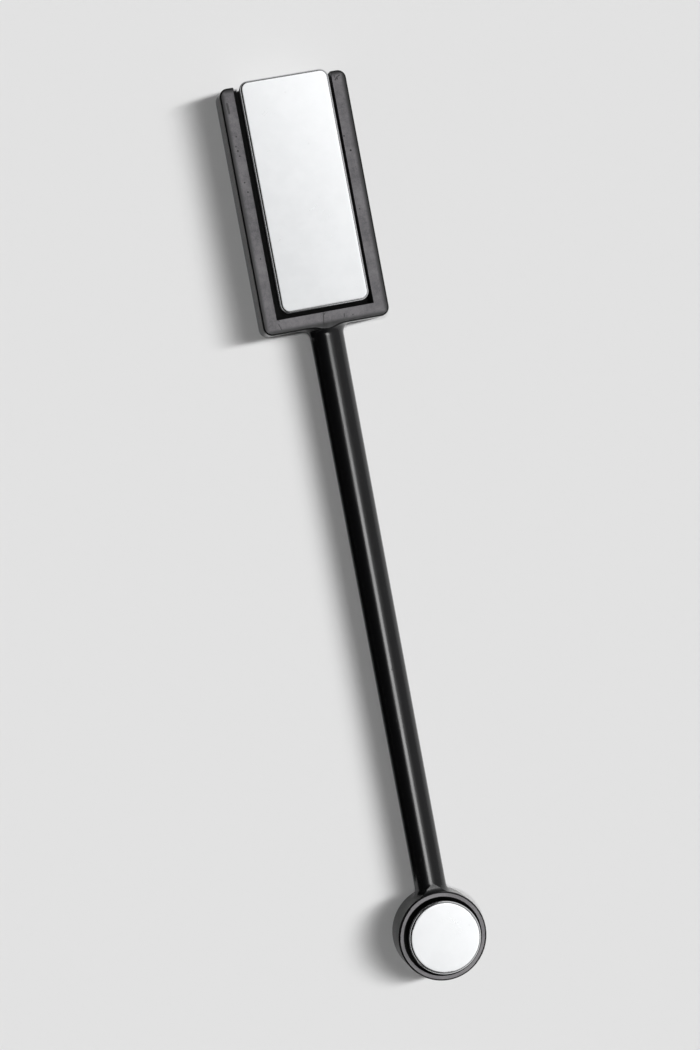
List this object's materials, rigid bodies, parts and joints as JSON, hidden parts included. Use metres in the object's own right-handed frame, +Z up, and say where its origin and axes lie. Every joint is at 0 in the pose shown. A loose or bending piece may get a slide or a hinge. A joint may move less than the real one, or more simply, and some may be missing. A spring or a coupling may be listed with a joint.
{
  "type": "magnetic wand",
  "caption": "Double-ended magnetic wand: black plastic rod with a block magnet in an open-ended tray and a disc magnet in a round cup, used to draw patterns in magnetic nail varnish.",
  "frame": {"origin": "middle of the footprint, on the surface that the wand's back lies on", "axes": "+Y along the rod towards the block magnet, +Z up and out of both magnets' faces, +X across the wand"},
  "size_m": [0.017, 0.1216, 0.0063],
  "materials": {
    "black_plastic": "satin injection-moulded black plastic, slightly mottled on the flat rims",
    "nickel_plate": "bright nickel plating with fine satin grain and tumbled edges"
  },
  "bodies": {
    "root": {"handle_moulding": "black_plastic", "bar_magnet": "nickel_plate", "disc_magnet": "nickel_plate"}
  },
  "joints": []
}
